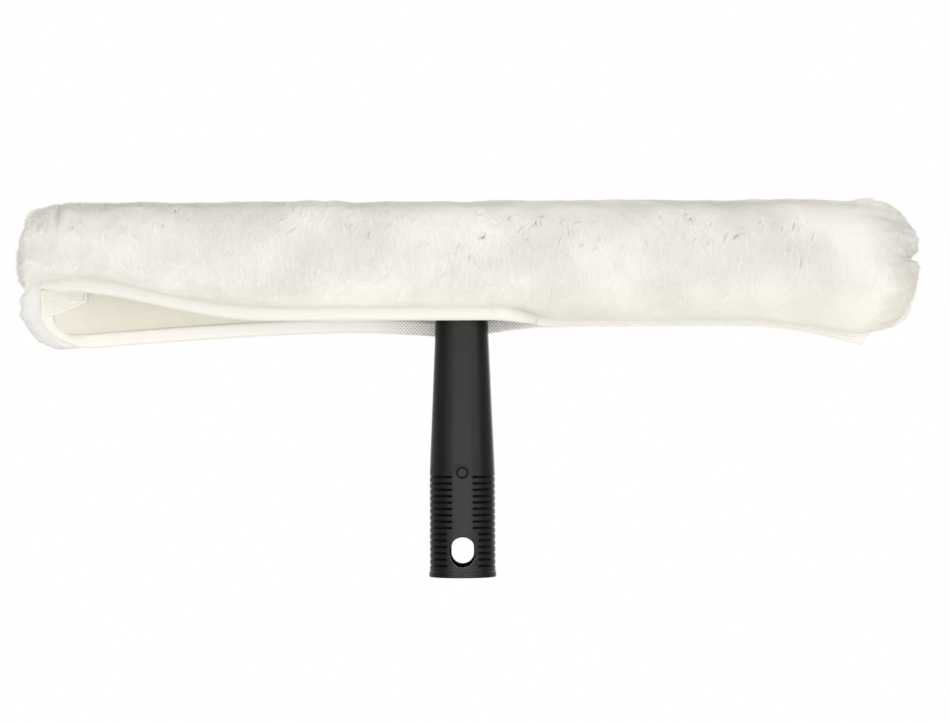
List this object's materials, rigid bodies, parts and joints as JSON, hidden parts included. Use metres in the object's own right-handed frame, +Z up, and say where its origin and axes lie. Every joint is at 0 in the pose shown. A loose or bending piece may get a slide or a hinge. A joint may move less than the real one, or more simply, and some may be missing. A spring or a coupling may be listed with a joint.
{
  "type": "window scrubber",
  "caption": "Window scrubber: a T-shaped applicator whose fleece sleeve slides off a crossbar with a black handle and a pole socket.",
  "frame": {"origin": "middle of the pole socket's mouth, at the lower end of the handle", "axes": "+X along the crossbar towards the sleeve's sewn end, +Z up the handle to the bar, -Y towards the user"},
  "size_m": [0.4602, 0.0686, 0.1917],
  "materials": {
    "handle_plastic": "satin black moulded polypropylene",
    "tube_aluminium": "drawn, lightly satin",
    "cap_plastic": "satin",
    "rivet_metal": "satin",
    "fleece_pile": "dense short silky pile",
    "knit_backing": "smooth fine knit",
    "knit_hem": "coarse knit, overlocked edge",
    "tab_cloth": "woven tape",
    "hook_tape": "hook tape"
  },
  "bodies": {
    "t_bar": {"handle": "handle_plastic", "crossbar": "tube_aluminium", "left_end_cap": "cap_plastic", "right_end_cap": "cap_plastic", "collar_rivets": "rivet_metal"},
    "sleeve": {"fleece": "fleece_pile", "backing": "knit_backing", "rim_hem": "knit_hem", "front_hem": "knit_hem", "back_hem": "knit_hem", "bottom_seam": "knit_hem", "end_seam": "knit_hem"},
    "tab": {"closing_tab": "tab_cloth", "hook_pad": "hook_tape"}
  },
  "joints": [
    {"name": "sleeve_slide", "type": "slide", "parent": "t_bar", "child": "sleeve", "axis": [1, 0, 0], "range_m": [0, 0.445]},
    {"name": "closing_tab_hinge", "type": "hinge", "parent": "sleeve", "child": "tab", "pos_m": [-0.2165, 0.0191, 0.14], "axis": [0, 0, -1], "range_deg": [0, 180]}
  ]
}
